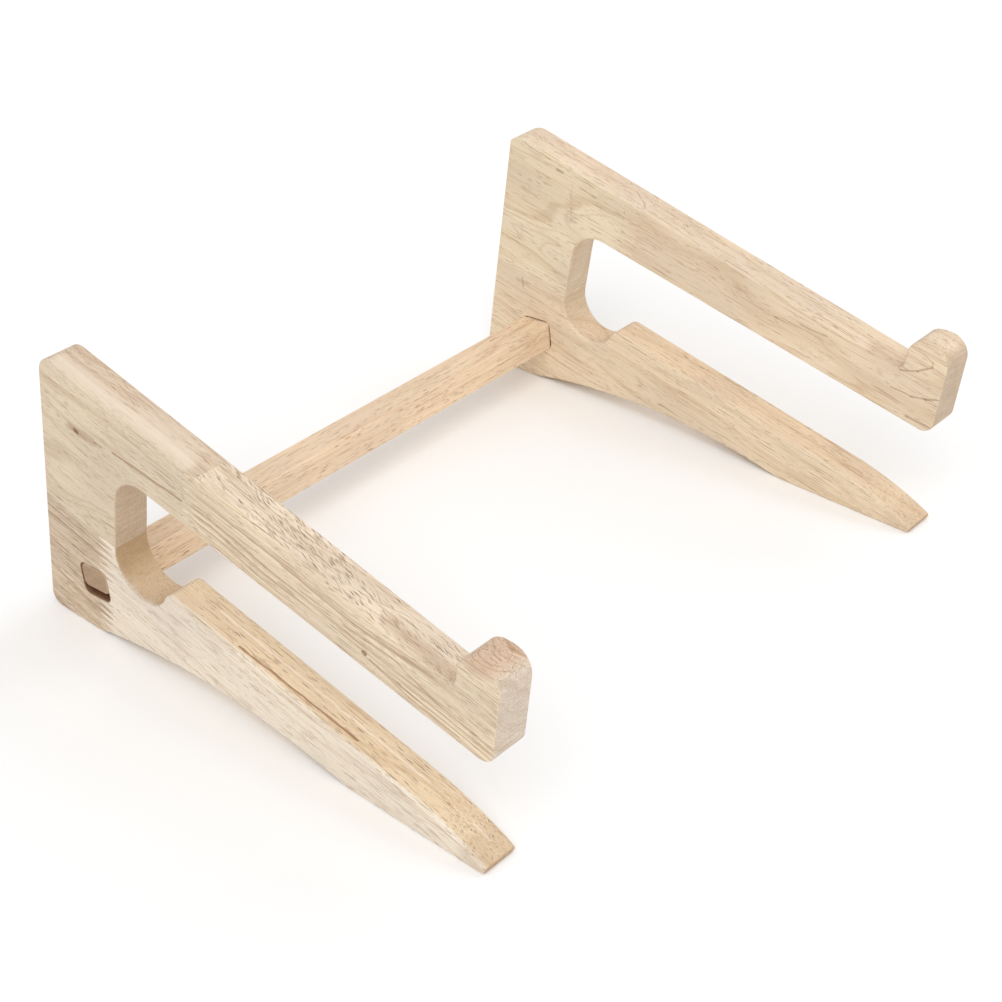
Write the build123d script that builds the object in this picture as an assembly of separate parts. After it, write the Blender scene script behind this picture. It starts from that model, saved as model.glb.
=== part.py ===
from build123d import *
from math import cos, hypot, radians, sin, sqrt, tan
import os

# Laptop stand in finger-jointed rubberwood. Two equal brackets stand on edge, and a crossbar joins
# their heels with a loose through tenon at each end. A bracket is sawn from a board of two strips,
# and each strip is two lengths of wood that meet end to end in a finger joint.
#
# Frame: X across the stand, +Y to the back, +Z up. The origin is on the floor, under the middle of
# the stand. Until main() moves the pieces there, a profile point is (y, z) with y = 0 near the front
# end of the heel's flat.

# ---- Driving dimensions, in mm and degrees ----
WIDTH = 318.0            # over both brackets
BOARD = 18.0             # thickness of the brackets
EASE = 1.0               # rounding of the sanded edges

REAR_FOOT = (36.7, 0.0)  # rear edge: meets the floor here and leans forward
REAR_LEAN = 9.73
REAR_TOP_RUN = {"left": 9.0, "right": 10.0}   # rounding of the rear top corner, along the rail
REAR_TOP_DROP = {"left": 9.0, "right": 5.0}   # and down the rear edge
REAR_TOP_NOSE = 1.2      # the corner left where that rounding isn't tangent to the rear edge
HEEL_RADIUS = 6.0

RAIL_TOP = (0.0, 139.5)  # the laptop lies on this line
RAIL_TOP_SLOPE = 13.01
RAIL_BOTTOM = (0.0, 106.5)
RAIL_BOTTOM_SLOPE = 11.18

LIP_FRONT = (-238.1, 0.0)  # the lip's front face, carried down to the floor
LIP_LEAN = 8.78
LIP_REAR_Y = -229.4      # foot of the lip's rear face, on the rail's top
LIP_TOP_Z = 104.8
LIP_FOOT_RADIUS = 5.0
LIP_REAR_RADIUS = 9.0
LIP_FRONT_RADIUS = 9.5
LIP_BOTTOM_RADIUS = 7.0

SLOT_CORNER_RADIUS = 18.0
SLOT_WALL_LEAN = 11.5
KEYHOLE_CENTRE = (-39.3, 52.2)
KEYHOLE_RADIUS = 17.0
HUMP_RADIUS = 5.0

LEG_TOP = (0.0, 58.6)
LEG_TOP_SLOPE = 11.47
TOE_BEND_Y = -197.0      # the leg's top starts to curve down to the toe
TOE_TIP = (-240.8, 2.6)
TOE_FOOT = (-239.2, 0.0)
TOE_RADIUS = 1.1
ARCH_FRONT_Y = -163.0    # the arch under the leg
ARCH_REAR_Y = 1.0
ARCH_HEIGHT = 9.0

MORTISE_CENTRE = (-2.3, 28.3)
MORTISE_WIDTH = 18.4
MORTISE_HEIGHT = 15.7
MORTISE_RADIUS = 3.3
MORTISE_EASE = 0.4
MORTISE_TILT = -4.5      # its top rises towards the front

BAR_WIDTH = 18.0
BAR_HEIGHT = 15.4
BAR_EDGE_RADIUS = 1.5
TENON_WIDTH = 17.7
TENON_HEIGHT = 11.8      # its top is flush with the bar's top
TENON_RADIUS = 3.0
TENON_END_EASE = 0.5
TENON_TOP_GAP = 0.2      # between the tenon and the mortise's top

GRAIN_SLOPE = 11.2       # the strips of the board run parallel to the rail
GLUE_LINE = (0.0, 60.7)  # the joint between the lower and the upper strip
FINGER_PITCH = 3.9
FINGER_LENGTH = 9.0
FINGER_TIP = 0.6         # flat end of a finger
UPPER_JOINT = {"left": -71.9, "right": -56.3}  # middles of the finger joints, along the grain
LOWER_JOINT = {"left": -16.5, "right": -55.0}
UPPER_HOLLOW = 0.5       # left behind the ends of the fingers that point to the back
LOWER_HOLLOW = 0.0
BOARD_REACH = 330.0      # the uncut board reaches this far past the glue line's point
STRIP_HEIGHT = 117.0     # 30 pitches: more than either strip needs
CHIP_VOLUME = 1.0        # a sliver smaller than this is sanded away
FACE_TOLERANCE = 0.01    # an edge this near a face of the board lies in it


def along(angle):
    return Vector(cos(radians(angle)), sin(radians(angle)))


def meet(point_a, angle_a, point_b, angle_b):
    """Where two lines cross, each given by a point and its angle from +Y."""
    u = along(angle_a)
    v = along(angle_b)
    gap = Vector(*point_b) - Vector(*point_a)
    step = (gap.X * v.Y - gap.Y * v.X) / (u.X * v.Y - u.Y * v.X)
    return Vector(*point_a) + u * step


def line_meets_circle(point, angle, centre, radius):
    """The crossing further along the line's direction."""
    u = along(angle)
    gap = Vector(*point) - Vector(*centre)
    half = u.dot(gap)
    step = -half + sqrt(half * half - gap.dot(gap) + radius * radius)
    return Vector(*point) + u * step


def on_slope(start, slope, y):
    return Vector(y, start[1] + tan(radians(slope)) * (y - start[0]))


def rounded(face, corners):
    """Round the outline's corners, given as (point, radius)."""
    for corner, radius in corners:
        vertex = face.vertices().sort_by_distance((corner.X, corner.Y, 0))[0]
        face = fillet(vertex, radius)
    return face


def keyhole_outline():
    """The slot's round bottom and the hump that leads out of it onto the leg's top."""
    centre = Vector(*KEYHOLE_CENTRE)
    wall = centre + along(SLOT_WALL_LEAN) * KEYHOLE_RADIUS
    drop = HUMP_RADIUS / cos(radians(LEG_TOP_SLOPE))
    below_top = (LEG_TOP[0], LEG_TOP[1] - drop)
    reach = KEYHOLE_RADIUS + HUMP_RADIUS
    hump = line_meets_circle(below_top, LEG_TOP_SLOPE + 180, KEYHOLE_CENTRE, reach)
    to_hump = (hump - centre).normalized()
    meeting = centre + to_hump * KEYHOLE_RADIUS
    crest = hump + along(LEG_TOP_SLOPE + 90) * HUMP_RADIUS
    crest_middle = hump + ((meeting - hump) + (crest - hump)).normalized() * HUMP_RADIUS
    bottom = centre + Vector(0, -KEYHOLE_RADIUS)
    curves = [
        ThreePointArc(wall, bottom, meeting),
        ThreePointArc(meeting, crest_middle, crest),
    ]
    return wall, crest, curves


def bracket_profile(side):
    rear_top = meet(REAR_FOOT, 90 + REAR_LEAN, RAIL_TOP, RAIL_TOP_SLOPE)
    top_on_rear = rear_top - along(90 + REAR_LEAN) * REAR_TOP_DROP[side]
    top_on_rail = rear_top - along(RAIL_TOP_SLOPE) * REAR_TOP_RUN[side]
    lip_foot = on_slope(RAIL_TOP, RAIL_TOP_SLOPE, LIP_REAR_Y)
    lip_rear = meet(lip_foot, 90 + LIP_LEAN, (0, LIP_TOP_Z), 0)
    lip_front = meet(LIP_FRONT, 90 + LIP_LEAN, (0, LIP_TOP_Z), 0)
    lip_bottom = meet(LIP_FRONT, 90 + LIP_LEAN, RAIL_BOTTOM, RAIL_BOTTOM_SLOPE)
    wall, crest, keyhole = keyhole_outline()
    slot_corner = meet(wall, 90 + SLOT_WALL_LEAN, RAIL_BOTTOM, RAIL_BOTTOM_SLOPE)
    toe_bend = on_slope(LEG_TOP, LEG_TOP_SLOPE, TOE_BEND_Y)
    toe_tip = Vector(*TOE_TIP)
    toe_foot = Vector(*TOE_FOOT)
    arch_front = Vector(ARCH_FRONT_Y, 0)
    arch_rear = Vector(ARCH_REAR_Y, 0)
    arch_crown = Vector((ARCH_FRONT_Y + ARCH_REAR_Y) / 2, ARCH_HEIGHT)
    heel = Vector(*REAR_FOOT)
    edges = [
        Line(heel, top_on_rear),
        TangentArc(top_on_rail, top_on_rear, tangent=along(RAIL_TOP_SLOPE)),
        Polyline(top_on_rail, lip_foot, lip_rear, lip_front, lip_bottom, slot_corner, wall),
        *keyhole,
        Line(crest, toe_bend),
        TangentArc(toe_bend, toe_tip, tangent=along(LEG_TOP_SLOPE + 180)),
        Polyline(toe_tip, toe_foot, arch_front),
        ThreePointArc(arch_front, arch_crown, arch_rear),
        Line(arch_rear, heel),
    ]
    corners = [
        (lip_foot, LIP_FOOT_RADIUS),
        (lip_rear, LIP_REAR_RADIUS),
        (lip_front, LIP_FRONT_RADIUS),
        (lip_bottom, LIP_BOTTOM_RADIUS),
        (slot_corner, SLOT_CORNER_RADIUS),
        (toe_tip, TOE_RADIUS),
        (toe_foot, TOE_RADIUS),
        (heel, HEEL_RADIUS),
    ]
    if REAR_TOP_RUN[side] != REAR_TOP_DROP[side]:
        corners.append((top_on_rear, REAR_TOP_NOSE))
    return rounded(make_face(edges), corners)


def mortise_face():
    corners = RectangleRounded(MORTISE_WIDTH, MORTISE_HEIGHT, MORTISE_RADIUS)
    return Pos(*MORTISE_CENTRE) * Rot(0, 0, MORTISE_TILT) * corners


def upright(face):
    """A (y, z) face as a board of full thickness, its inner half at +X and outer half at -X."""
    return extrude(Plane.YZ * face, BOARD / 2, both=True)


def bracket_board(side):
    """One whole bracket with its mortise and its sanded edges, centred on X = 0."""
    board = upright(bracket_profile(side))
    rims = board.faces().filter_by(Axis.X).edges()
    board = fillet(rims, EASE)
    mortise = upright(mortise_face())
    board -= mortise
    mouths = board.edges().filter_by(is_mortise_mouth)
    return chamfer(mouths, MORTISE_EASE)


def is_mortise_mouth(edge):
    """True for the edges where the mortise meets the board's two faces."""
    middle = edge @ 0.5
    on_face = abs(abs(middle.X) - BOARD / 2) < FACE_TOLERANCE
    reach = hypot(middle.Y - MORTISE_CENTRE[0], middle.Z - MORTISE_CENTRE[1])
    return on_face and reach < hypot(MORTISE_WIDTH, MORTISE_HEIGHT) / 2


def in_board(grain, rise):
    """A (y, z) point from its place in the board: along the grain, and up from the glue line."""
    return Vector(*GLUE_LINE) + along(GRAIN_SLOPE) * grain + along(GRAIN_SLOPE + 90) * rise


def finger_line(joint, start, rear_reach):
    """The zigzag of a finger joint, from rise = start up through STRIP_HEIGHT.

    rear_reach says how far its rear turning points stand from the joint's middle. Half a finger's
    length is the end of a finger. Any more carries the flanks on into a hollow past it.
    """
    front_reach = FINGER_LENGTH / 2
    front_half = FINGER_TIP / 2
    flank = (FINGER_PITCH / 2 - FINGER_TIP) / FINGER_LENGTH
    rear_half = FINGER_TIP / 2 - (rear_reach - front_reach) * flank
    points = []
    for number in range(round(STRIP_HEIGHT / FINGER_PITCH)):
        front_rise = start + number * FINGER_PITCH + FINGER_PITCH / 4
        rear_rise = front_rise + FINGER_PITCH / 2
        points.append(in_board(joint - front_reach, front_rise - front_half))
        points.append(in_board(joint - front_reach, front_rise + front_half))
        points.append(in_board(joint + rear_reach, rear_rise - rear_half))
        points.append(in_board(joint + rear_reach, rear_rise + rear_half))
    return points


def stave_masks(joint, start, hollow):
    """The rear and the front length of one strip, each bounded by its side of the finger joint."""
    top = start + STRIP_HEIGHT
    rear_line = finger_line(joint, start, FINGER_LENGTH / 2 + hollow)
    front_line = finger_line(joint, start, FINGER_LENGTH / 2)
    rear_ends = [in_board(joint, top), in_board(BOARD_REACH, top), in_board(BOARD_REACH, start)]
    front_ends = [in_board(joint, top), in_board(-BOARD_REACH, top), in_board(-BOARD_REACH, start)]
    rear = make_face(Polyline(*rear_line, *rear_ends, in_board(joint, start), close=True))
    front = make_face(Polyline(*front_line, *front_ends, in_board(joint, start), close=True))
    return upright(rear), upright(front)


def stave_and_chips(wood):
    """The largest solid, and the cut-off finger ends that stay glued to the other length."""
    solids = wood.solids().sort_by(SortBy.VOLUME, reverse=True)
    chips = [solid for solid in solids[1:] if solid.volume > CHIP_VOLUME]
    return solids[0], chips


def glued(stave, chips):
    whole = Part() + stave
    for chip in chips:
        whole += chip
    return whole


def split_strip(board, joint, start, hollow):
    rear_mask, front_mask = stave_masks(joint, start, hollow)
    rear, rear_chips = stave_and_chips(board & rear_mask)
    front, front_chips = stave_and_chips(board & front_mask)
    return glued(rear, front_chips), glued(front, rear_chips)


def bracket_staves(side):
    """The four staves of one bracket, by name, centred on X = 0."""
    board = bracket_board(side)
    spine, lip = split_strip(board, UPPER_JOINT[side], 0, UPPER_HOLLOW)
    heel, leg = split_strip(board, LOWER_JOINT[side], -STRIP_HEIGHT, LOWER_HOLLOW)
    return {
        f"{side}_spine_stave": spine,
        f"{side}_lip_stave": lip,
        f"{side}_heel_stave": heel,
        f"{side}_leg_stave": leg,
    }


def crossbar():
    """The bar, seated: its ends touch the brackets' inner faces, its tenons end flush outside."""
    length = WIDTH - 2 * BOARD
    bar_drop = (MORTISE_HEIGHT - BAR_HEIGHT) / 2 - TENON_TOP_GAP
    tenon_rise = (BAR_HEIGHT - TENON_HEIGHT) / 2
    bar_section = Plane.YZ * RectangleRounded(BAR_WIDTH, BAR_HEIGHT, BAR_EDGE_RADIUS)
    tenon_face = RectangleRounded(TENON_WIDTH, TENON_HEIGHT, TENON_RADIUS)
    tenon_section = Plane.YZ * Pos(0, tenon_rise) * tenon_face
    bar = extrude(bar_section, length / 2, both=True)
    tenons = extrude(tenon_section, WIDTH / 2, both=True)
    ends = tenons.faces().filter_by(Axis.X).edges()
    bar += chamfer(ends, TENON_END_EASE)
    seat = Pos(0, *MORTISE_CENTRE) * Rot(MORTISE_TILT, 0, 0)
    return seat * Pos(0, 0, bar_drop) * bar


def main():
    os.makedirs("parts", exist_ok=True)
    depth = bracket_board("left").bounding_box()
    origin = Pos(0, -(depth.min.Y + depth.max.Y) / 2, 0)
    centre_of_side = {"left": -(WIDTH - BOARD) / 2, "right": (WIDTH - BOARD) / 2}
    pieces = {"crossbar": crossbar()}
    for side, x in centre_of_side.items():
        for name, stave in bracket_staves(side).items():
            pieces[name] = Pos(x, 0, 0) * stave
    for name, piece in pieces.items():
        export_step(origin * piece, f"parts/{name}.step")


main()
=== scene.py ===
from math import pi, radians

import bpy
from mathutils import Matrix, Vector


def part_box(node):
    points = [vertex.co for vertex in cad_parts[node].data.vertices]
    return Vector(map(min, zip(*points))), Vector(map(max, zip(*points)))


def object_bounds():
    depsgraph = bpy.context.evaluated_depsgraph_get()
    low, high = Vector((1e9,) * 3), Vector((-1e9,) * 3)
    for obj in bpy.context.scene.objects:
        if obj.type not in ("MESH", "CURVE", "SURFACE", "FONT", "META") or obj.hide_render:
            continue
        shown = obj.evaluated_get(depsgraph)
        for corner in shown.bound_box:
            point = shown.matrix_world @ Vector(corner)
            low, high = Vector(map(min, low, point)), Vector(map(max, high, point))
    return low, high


# Looks of the wooden laptop stand: bare, sanded rubberwood on a pale floor. Every CAD piece keeps
# its mesh and gets its own solid-wood material, whose rings, fibres and pores run through the
# piece along its grain, so that faces, edges and end grain agree with each other.

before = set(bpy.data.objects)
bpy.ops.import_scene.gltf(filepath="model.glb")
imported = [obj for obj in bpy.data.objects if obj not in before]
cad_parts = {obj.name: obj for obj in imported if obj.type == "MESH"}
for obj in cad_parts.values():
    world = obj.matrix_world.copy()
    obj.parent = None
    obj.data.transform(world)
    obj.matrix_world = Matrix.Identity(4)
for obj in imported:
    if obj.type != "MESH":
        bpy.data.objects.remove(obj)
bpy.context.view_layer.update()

MM = 0.001

# ---- Camera: measured from the stand, in metres and degrees ----
CAMERA_PLACE = (-0.5494, -0.5224, 0.5426)
CAMERA_HEADING = 46.366      # from +Y towards +X
CAMERA_PITCH = -30.771
CAMERA_ROLL = -2.243
CAMERA_LENS = 70.06          # mm, on a 36 mm sensor
CAMERA_SHIFT = (0.0005, -0.1018)


def make_camera():
    data = bpy.data.cameras.new("camera")
    data.sensor_width = 36.0
    data.lens = CAMERA_LENS
    data.shift_x, data.shift_y = CAMERA_SHIFT
    data.clip_start = 0.05
    data.clip_end = 50.0
    camera = bpy.data.objects.new("camera", data)
    turn = Matrix.Rotation(radians(-CAMERA_HEADING), 4, "Z")
    tip = Matrix.Rotation(radians(90 + CAMERA_PITCH), 4, "X")
    roll = Matrix.Rotation(radians(CAMERA_ROLL), 4, "Z")
    camera.matrix_world = Matrix.Translation(CAMERA_PLACE) @ turn @ tip @ roll
    bpy.context.scene.collection.objects.link(camera)
    bpy.context.scene.camera = camera


# ---- Node graph helper ----
class Graph:
    """Adds nodes to a tree. A value may be a number, a colour or vector tuple, or a socket."""

    def __init__(self, tree):
        self.tree = tree

    def node(self, kind, **settings):
        made = self.tree.nodes.new(kind)
        for name, value in settings.items():
            setattr(made, name, value)
        return made

    def feed(self, socket, value):
        if isinstance(value, bpy.types.NodeSocket):
            self.tree.links.new(value, socket)
        else:
            socket.default_value = value

    def math(self, operation, a, b=0.0, c=0.0):
        made = self.node("ShaderNodeMath", operation=operation)
        for socket, value in zip(made.inputs, (a, b, c)):
            self.feed(socket, value)
        return made.outputs[0]

    def vector(self, operation, a, b=(0.0, 0.0, 0.0)):
        made = self.node("ShaderNodeVectorMath", operation=operation)
        self.feed(made.inputs[0], a)
        self.feed(made.inputs[1], b)
        return made.outputs["Value" if operation in ("LENGTH", "DOT_PRODUCT") else "Vector"]

    def scaled(self, vector, factor):
        made = self.node("ShaderNodeVectorMath", operation="SCALE")
        self.feed(made.inputs[0], vector)
        self.feed(made.inputs["Scale"], factor)
        return made.outputs["Vector"]

    def split(self, vector):
        made = self.node("ShaderNodeSeparateXYZ")
        self.feed(made.inputs[0], vector)
        return made.outputs

    def joined(self, x, y, z):
        made = self.node("ShaderNodeCombineXYZ")
        for socket, value in zip(made.inputs, (x, y, z)):
            self.feed(socket, value)
        return made.outputs[0]

    def ramp(self, value, low, high):
        """0 below low and 1 above high, or the other way round if low is the larger."""
        made = self.node("ShaderNodeMapRange", interpolation_type="SMOOTHSTEP")
        rising = low < high
        sockets = (value, low, high, 0.0, 1.0) if rising else (value, high, low, 1.0, 0.0)
        for socket, number in zip(made.inputs, sockets):
            self.feed(socket, number)
        return made.outputs[0]

    def mix(self, factor, a, b, blend="MIX"):
        """Mixes two colours. The node's colour sockets are inputs 6 and 7 and output 2."""
        made = self.node("ShaderNodeMix", data_type="RGBA", blend_type=blend)
        made.clamp_factor = True
        self.feed(made.inputs["Factor"], factor)
        self.feed(made.inputs[6], a)
        self.feed(made.inputs[7], b)
        return made.outputs[2]

    def noise(self, vector, scale=1.0, detail=2.0, roughness=0.5):
        made = self.node("ShaderNodeTexNoise", noise_dimensions="3D")
        self.feed(made.inputs["Vector"], vector)
        made.inputs["Scale"].default_value = scale
        made.inputs["Detail"].default_value = detail
        made.inputs["Roughness"].default_value = roughness
        return made.outputs

    def line_noise(self, value, detail=2.0, roughness=0.5):
        made = self.node("ShaderNodeTexNoise", noise_dimensions="1D")
        self.feed(made.inputs["W"], value)
        made.inputs["Scale"].default_value = 1.0
        made.inputs["Detail"].default_value = detail
        made.inputs["Roughness"].default_value = roughness
        return made.outputs["Fac"]

    def cells(self, vector):
        made = self.node("ShaderNodeTexVoronoi", voronoi_dimensions="3D", feature="F1")
        self.feed(made.inputs["Vector"], vector)
        made.inputs["Scale"].default_value = 1.0
        made.inputs["Randomness"].default_value = 1.0
        return made.outputs


# ---- The wood ----
# A wood frame is in millimetres: x through the board's thickness, y along the grain, z across it.
WOOD_INPUTS = (
    ("Position", "NodeSocketVector", None),
    ("Grain", "NodeSocketVector", None),
    ("Seed", "NodeSocketFloat", 0.0),
    ("Pith x", "NodeSocketFloat", -60.0),
    ("Pith z", "NodeSocketFloat", -40.0),
    ("Ring pitch", "NodeSocketFloat", 4.0),
    ("Body", "NodeSocketColor", (0.7, 0.55, 0.38, 1.0)),
    ("Skin", "NodeSocketColor", (0.7, 0.58, 0.43, 1.0)),
    ("Streak", "NodeSocketColor", (0.42, 0.27, 0.15, 1.0)),
    ("Pore", "NodeSocketColor", (0.15, 0.066, 0.026, 1.0)),
    ("End", "NodeSocketColor", (0.5, 0.38, 0.27, 1.0)),
    ("Skin x", "NodeSocketFloat", -7.2),
    ("Zones", "NodeSocketFloat", 0.5),
    ("Lines", "NodeSocketFloat", 0.4),
    ("Fibres", "NodeSocketFloat", 0.6),
    ("Coarse pores", "NodeSocketFloat", 0.3),
    ("Fine pores", "NodeSocketFloat", 0.6),
    ("Hairlines", "NodeSocketFloat", 0.3),
    ("Run out", "NodeSocketFloat", 0.0),
)


HALVES = (0.5, 0.5, 0.5)     # the middle of a noise colour
RING_BEND = 24.0             # mm that the rings wander
COARSE_PORE = (0.5, 8.0)     # mm across the grain and along it, as the next two
FINE_PORE = (0.52, 6.5)
HAIRLINE = (0.62, 32.0)
PORE_SWAY = 1.4              # mm that the pores wander
MARK_WOBBLE = 1.4            # mm that a mark's outline wanders
BUMP_STRENGTH = 0.7
BUMP_DEPTH = 0.15            # mm
WOOD_SPECULAR = 0.25


def stretched(graph, vector, across, along):
    """The position in units of this many mm across the grain and along it."""
    return graph.vector("MULTIPLY", vector, (1 / across, 1 / along, 1 / across))


def pore_mask(graph, position, across, along, share):
    """Short vessel lines: long thin cells. share, from 0 to 1, is how many of them are kept."""
    cells = graph.cells(stretched(graph, position, across, along))
    shape = graph.ramp(cells["Distance"], 0.38, 0.2)
    chance = graph.split(cells["Color"])
    kept = graph.math("LESS_THAN", chance[0], share)
    depth = graph.math("ADD", 0.45, graph.math("MULTIPLY", chance[1], 0.55))
    return graph.math("MULTIPLY", graph.math("MULTIPLY", shape, kept), depth)


def make_wood_group():
    tree = bpy.data.node_groups.new("rubberwood", "ShaderNodeTree")
    for name, kind, default in WOOD_INPUTS:
        socket = tree.interface.new_socket(name, in_out="INPUT", socket_type=kind)
        if default is not None:
            socket.default_value = default
    for name in ("Color", "Roughness", "Height"):
        kind = "NodeSocketColor" if name == "Color" else "NodeSocketFloat"
        tree.interface.new_socket(name, in_out="OUTPUT", socket_type=kind)
    graph = Graph(tree)
    given = graph.node("NodeGroupInput").outputs
    position = given["Position"]
    seed_shift = graph.scaled(graph.joined(37.0, 91.0, 53.0), given["Seed"])
    here = graph.vector("ADD", position, seed_shift)
    place = graph.split(position)

    # growth rings about a pith outside the board, bent by slow noise
    slow = graph.noise(stretched(graph, here, 34.0, 150.0), detail=2.0)["Color"]
    bend = graph.scaled(graph.vector("SUBTRACT", slow, HALVES), RING_BEND)
    bent = graph.vector("ADD", position, bend)
    bent_place = graph.split(bent)
    pith_x = graph.math("SUBTRACT", bent_place[0], given["Pith x"])
    pith_z = graph.math("SUBTRACT", bent_place[2], given["Pith z"])
    radius = graph.vector("LENGTH", graph.joined(pith_x, 0.0, pith_z))
    ring = graph.math("ADD", graph.math("DIVIDE", radius, given["Ring pitch"]), given["Seed"])
    zones = graph.line_noise(ring, detail=3.0, roughness=0.6)
    contour = graph.line_noise(graph.math("MULTIPLY", ring, 1.9), detail=1.0)

    # fibres, strands, soft patches and a sanded stipple
    fibre = graph.noise(stretched(graph, here, 0.4, 30.0), detail=3.0, roughness=0.7)["Fac"]
    strand = graph.noise(stretched(graph, here, 1.5, 60.0), detail=2.0, roughness=0.6)["Fac"]
    patch = graph.noise(stretched(graph, here, 7.0, 34.0), detail=2.0)["Fac"]
    cloud = graph.noise(stretched(graph, here, 24.0, 60.0), detail=1.0)["Fac"]
    stipple = graph.noise(stretched(graph, here, 0.4, 0.9), detail=1.0)["Fac"]

    # sapwood skin on one side of the board, body inside
    wander = graph.math("MULTIPLY", graph.math("SUBTRACT", patch, 0.5), 2.2)
    skin_edge = graph.math("SUBTRACT", graph.math("ADD", place[0], wander), given["Skin x"])
    inner = graph.ramp(skin_edge, -0.7, 0.7)
    base = graph.mix(inner, given["Skin"], given["Body"])
    clouded = graph.ramp(cloud, 0.3, 0.7)
    tone = graph.mix(clouded, (0.93, 0.93, 0.94, 1.0), (1.05, 1.05, 1.04, 1.0))
    base = graph.mix(1.0, base, tone, blend="MULTIPLY")

    # darker zones, thin ring lines, fibres
    zone = graph.math("MULTIPLY", graph.ramp(zones, 0.46, 0.74), given["Zones"])
    off_line = graph.math("ABSOLUTE", graph.math("SUBTRACT", contour, 0.5))
    line = graph.math("MULTIPLY", graph.ramp(off_line, 0.045, 0.0), given["Lines"])
    line = graph.math("MULTIPLY", line, graph.ramp(cloud, 0.3, 0.5))
    dark_strand = graph.math("MULTIPLY", graph.ramp(strand, 0.5, 0.78), given["Fibres"])
    dark_fibre = graph.math("MULTIPLY", graph.ramp(fibre, 0.5, 0.72), given["Fibres"])
    light_fibre = graph.math("MULTIPLY", graph.ramp(fibre, 0.48, 0.3), given["Fibres"])
    colour = graph.mix(zone, base, given["Streak"])
    colour = graph.mix(line, colour, given["Streak"])
    colour = graph.mix(graph.math("MULTIPLY", dark_strand, 0.5), colour, given["Streak"])
    colour = graph.mix(graph.math("MULTIPLY", dark_fibre, 0.7), colour, given["Streak"])
    colour = graph.mix(graph.math("MULTIPLY", light_fibre, 0.4), colour, (0.93, 0.88, 0.8, 1.0))
    speck = graph.mix(stipple, (0.88, 0.88, 0.88, 1.0), (1.12, 1.12, 1.12, 1.0))
    colour = graph.mix(1.0, colour, speck, blend="MULTIPLY")

    # end grain: darker and fuzzy, with faint cutter marks
    normal = graph.node("ShaderNodeNewGeometry").outputs["Normal"]
    facing = graph.math("ABSOLUTE", graph.vector("DOT_PRODUCT", normal, given["Grain"]))
    end = graph.ramp(facing, 0.35, 0.95)
    fuzz = graph.noise(graph.scaled(here, 1.6), detail=2.0, roughness=0.65)["Fac"]
    chatter = graph.noise(graph.vector("MULTIPLY", here, (0.09, 1.1, 1.1)), detail=2.0)["Fac"]
    fuzz_part = graph.math("MULTIPLY", fuzz, 0.6)
    chatter_part = graph.math("MULTIPLY", chatter, 0.4)
    ends = graph.math("ADD", fuzz_part, chatter_part)
    roughened = graph.ramp(ends, 0.3, 0.7)
    end_tone = graph.mix(roughened, (0.78, 0.77, 0.76, 1.0), (1.17, 1.17, 1.17, 1.0))
    end_colour = graph.mix(1.0, given["End"], end_tone, blend="MULTIPLY")
    end_rings = graph.math("MULTIPLY", graph.ramp(zones, 0.44, 0.7), 0.22)
    end_colour = graph.mix(end_rings, end_colour, given["Streak"])
    colour = graph.mix(graph.math("MULTIPLY", end, 0.85), colour, end_colour)

    # pores: coarse ones in the body, fine ones and long hairlines everywhere
    sway = graph.noise(stretched(graph, here, 5.0, 16.0), detail=1.0)["Color"]
    wander_off = graph.scaled(graph.vector("SUBTRACT", sway, HALVES), PORE_SWAY)
    swayed = graph.vector("ADD", here, wander_off)
    drift = graph.math("MULTIPLY", graph.math("MULTIPLY", place[1], given["Run out"]), -1.0)
    leaning = graph.vector("ADD", swayed, graph.joined(drift, 0.0, 0.0))
    crowd = graph.ramp(patch, 0.36, 0.58)
    crowd_inside = graph.math("MULTIPLY", crowd, inner)
    coarse_share = graph.math("MULTIPLY", crowd_inside, given["Coarse pores"])
    coarse = pore_mask(graph, leaning, *COARSE_PORE, coarse_share)
    crowding = graph.math("ADD", 0.2, graph.math("MULTIPLY", crowd, 0.8))
    fine_share = graph.math("MULTIPLY", crowding, given["Fine pores"])
    fine = pore_mask(graph, swayed, *FINE_PORE, fine_share)
    elsewhere = graph.vector("ADD", swayed, (11.0, 7.0, 5.0))
    hair = pore_mask(graph, elsewhere, *HAIRLINE, given["Hairlines"])
    side_grain = graph.math("SUBTRACT", 1.0, graph.math("MULTIPLY", end, 0.6))
    pore_tone = graph.mix(0.65, given["Streak"], given["Pore"])
    layers = ((fine, 0.7, pore_tone), (hair, 0.75, pore_tone), (coarse, 1.0, given["Pore"]))
    for lines, strength, tint in layers:
        factor = graph.math("MULTIPLY", graph.math("MULTIPLY", lines, strength), side_grain)
        colour = graph.mix(factor, colour, tint)

    output = graph.node("NodeGroupOutput")
    graph.feed(output.inputs["Color"], colour)
    fibre_rough = graph.math("MULTIPLY", graph.math("SUBTRACT", fibre, 0.5), 0.25)
    pore_rough = graph.math("MULTIPLY", coarse, 0.2)
    rough = graph.math("ADD", graph.math("ADD", 0.6, fibre_rough), pore_rough)
    graph.feed(output.inputs["Roughness"], rough)
    height = graph.math("MULTIPLY", fibre, 0.4)
    height = graph.math("SUBTRACT", height, graph.math("MULTIPLY", coarse, 0.5))
    height = graph.math("SUBTRACT", height, graph.math("MULTIPLY", fine, 0.5))
    end_relief = graph.math("MULTIPLY", end, 0.5)
    end_height = graph.math("MULTIPLY", graph.math("ADD", fuzz, chatter), end_relief)
    height = graph.math("ADD", height, end_height)
    graph.feed(output.inputs["Height"], height)
    return tree


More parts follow.
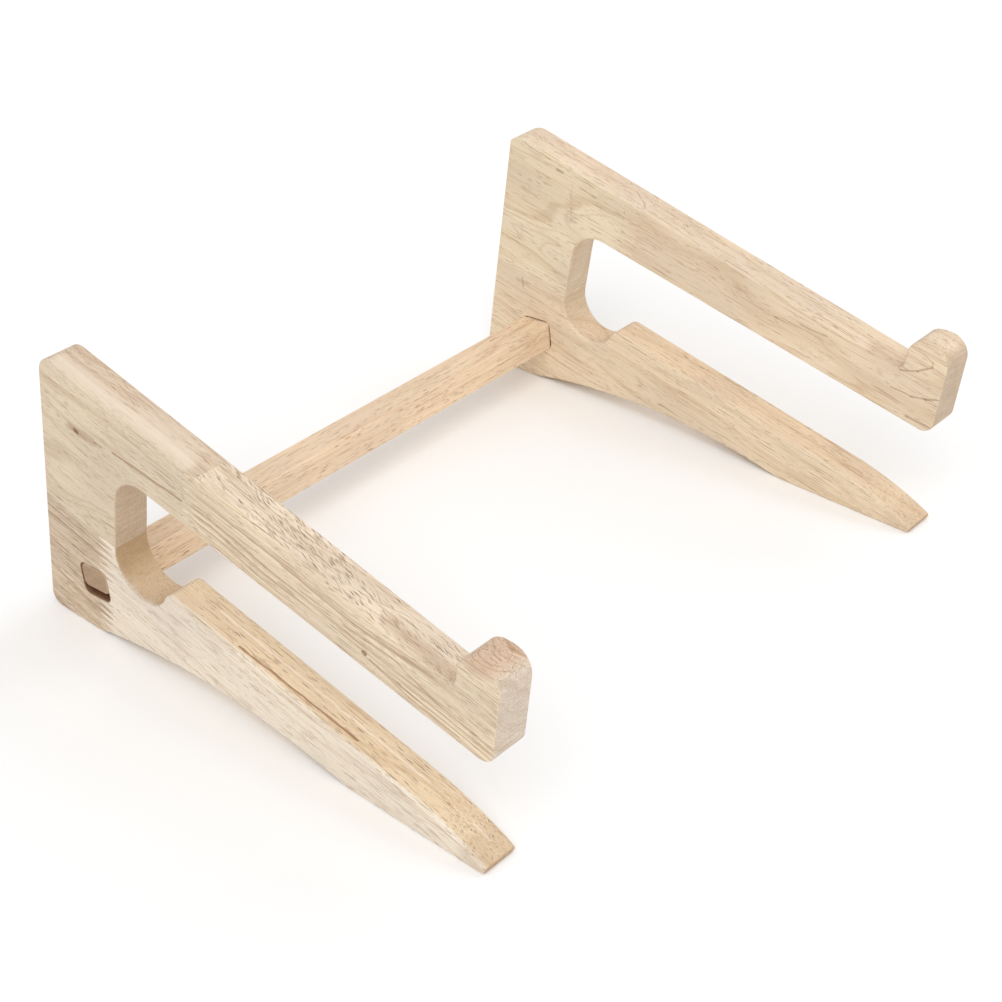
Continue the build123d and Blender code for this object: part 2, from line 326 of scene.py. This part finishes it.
def make_mark_group():
    """How far a point is inside a soft-edged capsule: 0 outside, 1 in its core."""
    tree = bpy.data.node_groups.new("mark", "ShaderNodeTree")
    for name in ("Position", "Start", "Run"):
        tree.interface.new_socket(name, in_out="INPUT", socket_type="NodeSocketVector")
    for name in ("Radius", "Soft"):
        tree.interface.new_socket(name, in_out="INPUT", socket_type="NodeSocketFloat")
    tree.interface.new_socket("Inside", in_out="OUTPUT", socket_type="NodeSocketFloat")
    graph = Graph(tree)
    given = graph.node("NodeGroupInput").outputs
    reach = graph.vector("SUBTRACT", given["Position"], given["Start"])
    travelled = graph.vector("DOT_PRODUCT", reach, given["Run"])
    whole = graph.vector("DOT_PRODUCT", given["Run"], given["Run"])
    share = graph.math("DIVIDE", travelled, whole)
    share = graph.math("MINIMUM", graph.math("MAXIMUM", share, 0.0), 1.0)
    nearest = graph.node("ShaderNodeVectorMath", operation="SCALE")
    graph.feed(nearest.inputs[0], given["Run"])
    graph.feed(nearest.inputs["Scale"], share)
    gap = graph.vector("LENGTH", graph.vector("SUBTRACT", reach, nearest.outputs["Vector"]))
    depth = graph.math("DIVIDE", graph.math("SUBTRACT", given["Radius"], gap), given["Soft"])
    output = graph.node("NodeGroupOutput")
    graph.feed(output.inputs["Inside"], graph.ramp(depth, 0.0, 1.0))
    return tree


def add_marks(graph, colour, position, marks, mark_group):
    """Lays each mark (start, end, radius, soft, strength, tint) over the colour."""
    wobble = graph.noise(stretched(graph, position, 2.2, 7.0), detail=2.0)["Color"]
    shift = graph.scaled(graph.vector("SUBTRACT", wobble, HALVES), MARK_WOBBLE)
    loose = graph.vector("ADD", position, shift)
    for start, end, radius, soft, strength, tint in marks:
        mark = graph.node("ShaderNodeGroup", node_tree=mark_group)
        graph.feed(mark.inputs["Position"], loose)
        mark.inputs["Start"].default_value = row_to_wood(start)
        mark.inputs["Run"].default_value = row_to_wood(end) - row_to_wood(start)
        mark.inputs["Radius"].default_value = radius
        mark.inputs["Soft"].default_value = soft
        inside = graph.math("MULTIPLY", mark.outputs["Inside"], strength)
        colour = graph.mix(inside, colour, tint)
    return colour


def add_mortise_shade(graph, colour, position):
    """Painted shade in the mortise, which is cut through the heel and nicks the leg: its walls and
    a thin ring round its mouth are darkened brown.
    """
    turn = graph.node("ShaderNodeVectorRotate", rotation_type="X_AXIS")
    reach_from_centre = graph.vector("SUBTRACT", position, row_to_wood(MORTISE_CENTRE))
    graph.feed(turn.inputs["Vector"], reach_from_centre)
    turn.inputs["Angle"].default_value = GRAIN_LEAN + MORTISE_TILT
    reach = graph.vector("ABSOLUTE", turn.outputs[0])
    straight = (BOARD / MM, MORTISE_HALF[0] - MORTISE_RADIUS, MORTISE_HALF[1] - MORTISE_RADIUS)
    past = graph.vector("MAXIMUM", graph.vector("SUBTRACT", reach, straight), (0.0, 0.0, 0.0))
    outside = graph.vector("LENGTH", past)
    inside = graph.ramp(outside, MORTISE_RADIUS + SHADE_OUTER, MORTISE_RADIUS + SHADE_INNER)
    return graph.mix(graph.math("MULTIPLY", inside, SHADE_STRENGTH), colour, MORTISE_SHADE)


def make_wood(name, groups, origin, lean, yaw, marks=(), has_mortise=False, **values):
    """A wood material. origin is the wood frame's zero in metres; lean and yaw turn its grain."""
    material = bpy.data.materials.new(name)
    material.use_nodes = True
    graph = Graph(material.node_tree)
    shader = material.node_tree.nodes["Principled BSDF"]
    place = graph.node("ShaderNodeTexCoord").outputs["Object"]
    mapping = graph.node("ShaderNodeMapping", vector_type="TEXTURE")
    graph.feed(mapping.inputs["Vector"], place)
    mapping.inputs["Location"].default_value = origin
    mapping.inputs["Rotation"].default_value = (lean, 0.0, yaw)
    mapping.inputs["Scale"].default_value = (MM, MM, MM)
    position = mapping.outputs[0]
    wood = graph.node("ShaderNodeGroup", node_tree=groups["wood"])
    graph.feed(wood.inputs["Position"], position)
    turned = Matrix.Rotation(yaw, 3, "Z") @ Matrix.Rotation(lean, 3, "X") @ Vector((0.0, 1.0, 0.0))
    wood.inputs["Grain"].default_value = turned
    for key, value in values.items():
        wood.inputs[key.replace("_", " ")].default_value = value
    colour = add_marks(graph, wood.outputs["Color"], position, marks, groups["mark"])
    if has_mortise:
        colour = add_mortise_shade(graph, colour, position)
    bump = graph.node("ShaderNodeBump")
    bump.inputs["Strength"].default_value = BUMP_STRENGTH
    bump.inputs["Distance"].default_value = BUMP_DEPTH * MM
    graph.feed(bump.inputs["Height"], wood.outputs["Height"])
    graph.feed(shader.inputs["Base Color"], colour)
    graph.feed(shader.inputs["Roughness"], wood.outputs["Roughness"])
    graph.feed(shader.inputs["Normal"], bump.outputs["Normal"])
    shader.inputs["Specular IOR Level"].default_value = WOOD_SPECULAR
    return material


# ---- The staves: two boards of four, with the grain parallel to the rail ----
GRAIN_LEAN = radians(11.2)
HALF_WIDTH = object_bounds()[1].x
BOARD = 18.0 * MM
SIDE_X = {"left": -HALF_WIDTH + BOARD / 2, "right": HALF_WIDTH - BOARD / 2}
MORTISE_CENTRE = (0.0, 106.26, 28.3)
MORTISE_TILT = radians(4.5)
MORTISE_HALF = (9.2, 7.85)   # mm, along and across
MORTISE_RADIUS = 3.3
SHADE_INNER, SHADE_OUTER = 0.35, 0.8     # mm past the mortise's wall: full painted shade, and none
SHADE_STRENGTH = 0.88


def srgb(red, green, blue):
    """A linear colour from 0 to 255 screen values."""
    def linear(value):
        value /= 255.0
        return value / 12.92 if value <= 0.04045 else ((value + 0.055) / 1.055) ** 2.4
    return (linear(red), linear(green), linear(blue), 1.0)


def row_to_wood(point):
    """A point in mm (x from the board's middle, y and z of the stand) in the wood frame."""
    return Matrix.Rotation(-GRAIN_LEAN, 3, "X") @ Vector(point)


KNOT = srgb(118, 80, 54)
BROWN = srgb(158, 122, 88)
CRACK = srgb(146, 104, 72)
ROSY = srgb(190, 150, 120)
# pale grain lines on the left leg, and painted highlight on the left rail top
PALE_LINE_AND_HIGHLIGHT = srgb(242, 226, 206)
# painted shade: the dark brown of the mortise's walls and of a thin ring round its mouth
MORTISE_SHADE = srgb(112, 72, 46)
RUSTY = srgb(134, 92, 60)
# painted shade that each lip casts on the rail top at its foot
LIP_SHADE_LEFT = srgb(170, 138, 108)
LIP_SHADE_RIGHT = srgb(186, 154, 128)
# painted shade on the walls of the left keyhole
KEYHOLE_SHADE = srgb(166, 136, 100)

# Marks in mm: start and end (x from the board's middle, y, z), radius, soft edge, strength, tint.
# Painted shade: a greyish-brown tint on the keyhole's walls, inside the hole through the left
# bracket.
KEYHOLE_SHADE_MARK = ((-9, 69.3, 52.2), (9, 69.3, 52.2), 18.0, 1.0, 0.4, KEYHOLE_SHADE)
LEFT_SPINE_MARKS = [
    ((-9, 90.0, 109.8), (-9, 105.0, 111.4), 3.4, 2.8, 0.45, BROWN),
    ((-9, 100.2, 110.2), (-9, 102.2, 110.6), 1.3, 0.9, 0.8, KNOT),
    ((-9, 84.1, 109.2), (-9, 88.5, 109.6), 1.2, 1.1, 0.5, KNOT),
    ((-9, 32.2, 104.4), (-9, 76.0, 109.6), 1.1, 0.9, 0.7, BROWN),
    # painted highlight: pale bands on the rail top, the first along its outer edge
    ((-5.0, 30.0, 121.4), (-5.0, 112.0, 140.3), 6.0, 5.0, 0.55, PALE_LINE_AND_HIGHLIGHT),
    ((1.0, 34.0, 122.3), (1.0, 62.0, 128.7), 8.0, 7.0, 0.3, PALE_LINE_AND_HIGHLIGHT),
]
LEFT_LIP_MARKS = [
    ((-9, -72.6, 78.8), (-9, -73.0, 78.7), 1.5, 0.6, 0.85, KNOT),
    ((-9, -72.6, 78.8), (-9, -73.0, 78.7), 0.8, 0.5, 0.8, ROSY),
    ((-9, -76.0, 77.2), (-9, -96.0, 69.5), 0.7, 0.6, 0.6, BROWN),
    ((-9, -96.0, 69.5), (-9, -122.0, 64.5), 0.7, 0.6, 0.5, BROWN),
    ((-9, -62.0, 87.0), (-9, -88.0, 84.5), 0.8, 0.7, 0.5, BROWN),
    ((-9, -88.0, 84.5), (-9, -112.0, 74.5), 0.8, 0.7, 0.5, BROWN),
    # painted shade on the rail top by the lip's foot
    ((-5, -119.0, 87.0), (-3, -82.0, 95.5), 6.0, 6.0, 0.45, LIP_SHADE_LEFT),
    ((-8, -134.5, 111.0), (9, -134.5, 111.0), 14.5, 6.0, 0.45, ROSY),
]
LEFT_LEG_MARKS = [
    ((-5.8, 9.8, 38.5), (-4.3, -59.1, 24.6), 0.9, 0.7, 0.8, CRACK),
    ((2.0, 30.0, 42.6), (2.0, -88.0, 18.7), 0.8, 0.5, 0.6, PALE_LINE_AND_HIGHLIGHT),
    ((2.0, -88.0, 18.7), (2.0, -129.0, 5.5), 0.8, 0.5, 0.6, PALE_LINE_AND_HIGHLIGHT),
    KEYHOLE_SHADE_MARK,
    ((-9, -128.0, 4.0), (9, -128.0, 4.0), 13.0, 7.0, 0.2, BROWN),
]
LEFT_HEEL_MARKS = [
    KEYHOLE_SHADE_MARK,
]
RIGHT_SPINE_MARKS = [
    ((-9, 85.8, 129.0), (-9, 89.0, 129.5), 1.3, 1.1, 0.65, BROWN),
    ((-9, 79.9, 120.6), (-9, 80.3, 102.3), 0.8, 0.7, 0.2, BROWN),
    ((-9, 32.5, 121.9), (-5.3, 33.8, 122.2), 0.8, 0.8, 0.45, BROWN),
    ((-5.3, 33.8, 122.2), (-1.5, 38.0, 123.2), 0.8, 0.8, 0.5, BROWN),
    ((-1.5, 38.0, 123.2), (3.1, 46.5, 125.2), 0.8, 0.8, 0.45, BROWN),
]
RIGHT_LIP_MARKS = [
    ((-9, -125.0, 101.0), (-9, -131.5, 99.2), 0.7, 0.7, 0.35, BROWN),
    ((-9, -131.5, 99.2), (-9, -136.6, 96.6), 0.7, 0.7, 0.45, BROWN),
    ((-9, -136.6, 96.6), (-9, -136.4, 94.0), 0.7, 0.7, 0.5, BROWN),
    ((-9, -136.4, 94.0), (-9, -129.0, 89.6), 0.8, 0.8, 0.6, CRACK),
    ((-9, -129.0, 89.6), (-9, -119.8, 86.8), 0.8, 0.8, 0.6, CRACK),
    ((-9, -126.2, 75.3), (-9, -134.0, 76.2), 0.8, 0.8, 0.55, CRACK),
    ((-9, -134.0, 76.2), (-9, -140.8, 78.2), 0.9, 0.8, 0.6, CRACK),
    ((-9, -124.7, 63.8), (-9, -138.1, 62.3), 0.9, 0.8, 0.5, CRACK),
    ((-9, -115.8, 76.3), (-9, -127.4, 75.2), 0.7, 0.7, 0.5, CRACK),
    ((-9, -63.8, 91.2), (-9, -79.2, 90.4), 0.7, 0.7, 0.5, CRACK),
    # painted shade on the rail top by the lip's foot
    ((-6, -119.0, 87.0), (-5, -103.0, 90.7), 6.0, 6.0, 0.4, LIP_SHADE_RIGHT),
]
RIGHT_HEEL_MARKS = [
    ((-9, 115.5, 53.8), (-9, 115.9, 58.2), 0.9, 0.9, 0.5, CRACK),
    ((-9, 112.0, 56.0), (-9, 119.0, 56.6), 2.4, 2.4, 0.3, BROWN),
]
RIGHT_LEG_MARKS = [
    ((-9, -128.0, 4.0), (9, -128.0, 4.0), 13.0, 7.0, 0.15, BROWN),
]

STAVES = {
    "left_spine_stave": dict(
        Seed=1.3, Pith_x=-75.0, Pith_z=60.0, Ring_pitch=7.0, marks=LEFT_SPINE_MARKS,
        Body=srgb(213, 191, 168), Skin=srgb(219, 201, 175), Streak=srgb(172, 141, 110),
        End=srgb(197, 175, 149), Zones=0.2, Lines=0.3, Fibres=0.48, Coarse_pores=0.03,
        Fine_pores=0.6, Hairlines=0.35,
    ),
    "left_lip_stave": dict(
        Seed=2.1, Pith_x=-45.0, Pith_z=25.0, Ring_pitch=6.0, marks=LEFT_LIP_MARKS,
        Body=srgb(235, 216, 192), Skin=srgb(230, 211, 183), Streak=srgb(172, 138, 104),
        End=srgb(215, 199, 182), Zones=0.2, Lines=0.7, Fibres=0.68, Coarse_pores=1.0,
        Fine_pores=0.55, Hairlines=0.6, Run_out=0.28,
    ),
    "left_heel_stave": dict(
        Seed=3.7, Pith_x=-50.0, Pith_z=-70.0, Ring_pitch=5.0, marks=LEFT_HEEL_MARKS,
        has_mortise=True, Body=srgb(200, 166, 126), Skin=srgb(215, 194, 167),
        Streak=srgb(148, 112, 84), End=srgb(172, 144, 112), Zones=0.5, Lines=0.3, Fibres=0.85,
        Coarse_pores=0.3, Fine_pores=0.9, Hairlines=0.9,
    ),
    "left_leg_stave": dict(
        Seed=4.4, Pith_x=-50.0, Pith_z=-90.0, Ring_pitch=5.5, marks=LEFT_LEG_MARKS,
        has_mortise=True, Body=srgb(226, 203, 171), Skin=srgb(234, 222, 204),
        Streak=srgb(190, 155, 116), End=srgb(190, 160, 124), Zones=0.12, Lines=0.25, Fibres=0.5,
        Coarse_pores=0.25, Fine_pores=0.5, Hairlines=0.6, Run_out=0.04,
    ),
    "right_spine_stave": dict(
        Seed=5.9, Pith_x=-70.0, Pith_z=80.0, Ring_pitch=7.0, marks=RIGHT_SPINE_MARKS,
        Body=srgb(231, 209, 184), Skin=srgb(231, 214, 186), Streak=srgb(184, 150, 108),
        Pore=RUSTY, End=srgb(214, 195, 169), Zones=0.2, Lines=0.25, Fibres=0.5, Coarse_pores=0.2,
        Fine_pores=0.5, Hairlines=0.25, Run_out=0.1,
    ),
    "right_lip_stave": dict(
        Seed=6.2, Pith_x=-60.0, Pith_z=90.0, Ring_pitch=7.0, marks=RIGHT_LIP_MARKS,
        Body=srgb(231, 210, 184), Skin=srgb(231, 210, 182), Streak=srgb(186, 150, 110),
        Pore=RUSTY, End=srgb(196, 174, 150), Zones=0.2, Lines=0.3, Fibres=0.5, Coarse_pores=0.25,
        Fine_pores=0.5, Hairlines=0.3, Run_out=0.1,
    ),
    "right_heel_stave": dict(
        Seed=7.5, Pith_x=-60.0, Pith_z=-80.0, Ring_pitch=6.0, marks=RIGHT_HEEL_MARKS,
        has_mortise=True, Body=srgb(222, 198, 168), Skin=srgb(233, 213, 185),
        Streak=srgb(184, 148, 106), Pore=RUSTY, End=srgb(211, 190, 161), Zones=0.2, Lines=0.25,
        Fibres=0.5, Coarse_pores=0.1, Fine_pores=0.5, Hairlines=0.3,
    ),
    "right_leg_stave": dict(
        Seed=8.8, Pith_x=-60.0, Pith_z=-60.0, Ring_pitch=6.0, marks=RIGHT_LEG_MARKS,
        Body=srgb(226, 202, 172), Skin=srgb(229, 209, 181), Streak=srgb(186, 150, 108),
        Pore=RUSTY, End=srgb(190, 162, 132), Zones=0.2, Lines=0.25, Fibres=0.5, Coarse_pores=0.15,
        Fine_pores=0.5, Hairlines=0.35,
    ),
}


def dress(node, material):
    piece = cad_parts[node]
    for slot in piece.material_slots:
        slot.material = material


def dress_all():
    groups = {"wood": make_wood_group(), "mark": make_mark_group()}
    for name, look in STAVES.items():
        origin = (SIDE_X[name.split("_")[0]], 0.0, 0.0)
        dress(name, make_wood(name, groups, origin, GRAIN_LEAN, 0.0, **look))
    low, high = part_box("crossbar")
    middle = (Vector(low) + Vector(high)) / 2
    dress("crossbar", make_wood(
        "crossbar", groups, middle, 0.0, -pi / 2, Seed=9.4, Pith_x=30.0, Pith_z=-50.0,
        Ring_pitch=3.5, Body=srgb(238, 213, 183), Skin=srgb(238, 213, 183),
        Streak=srgb(198, 156, 114), Pore=RUSTY, End=srgb(152, 124, 97), Zones=0.2, Lines=0.2,
        Fibres=0.5, Coarse_pores=0.25, Fine_pores=0.5, Hairlines=0.25, Skin_x=-40.0,
    ))


# ---- Floor and light: name, place, aim (metres), size (metres), power (watts) ----
FLOOR_HALF = 12.0
FLOOR_WHITE = 0.97
WORLD_STRENGTH = 0.73
LIGHTS = (
    ("key", (-6.4, -4.8, 9.6), (0.0, 0.0, 0.05), 9.0, 576.0),
    ("fill", (7.2, -2.4, 7.2), (0.0, 0.0, 0.05), 8.0, 192.0),
)


def make_floor():
    size = FLOOR_HALF
    mesh = bpy.data.meshes.new("floor")
    corners = [(-size, -size, 0.0), (size, -size, 0.0), (size, size, 0.0), (-size, size, 0.0)]
    mesh.from_pydata(corners, [], [(0, 1, 2, 3)])
    floor = bpy.data.objects.new("floor", mesh)
    bpy.context.scene.collection.objects.link(floor)
    material = bpy.data.materials.new("floor")
    material.use_nodes = True
    shader = material.node_tree.nodes["Principled BSDF"]
    shader.inputs["Base Color"].default_value = (FLOOR_WHITE, FLOOR_WHITE, FLOOR_WHITE, 1.0)
    shader.inputs["Roughness"].default_value = 0.9
    shader.inputs["Specular IOR Level"].default_value = 0.0
    mesh.materials.append(material)


def make_light(name, place, aim, size, power):
    data = bpy.data.lights.new(name, "AREA")
    data.shape = "DISK"
    data.size = size
    data.energy = power
    light = bpy.data.objects.new(name, data)
    towards = (Vector(aim) - Vector(place)).to_track_quat("-Z", "Y")
    light.matrix_world = Matrix.Translation(place) @ towards.to_matrix().to_4x4()
    bpy.context.scene.collection.objects.link(light)


def make_world(strength):
    world = bpy.data.worlds.new("studio")
    world.use_nodes = True
    background = world.node_tree.nodes["Background"]
    background.inputs["Color"].default_value = (1.0, 1.0, 1.0, 1.0)
    background.inputs["Strength"].default_value = strength
    bpy.context.scene.world = world


make_camera()
dress_all()
make_floor()
make_world(WORLD_STRENGTH)
for light in LIGHTS:
    make_light(*light)
bpy.context.scene.view_settings.view_transform = "Standard"
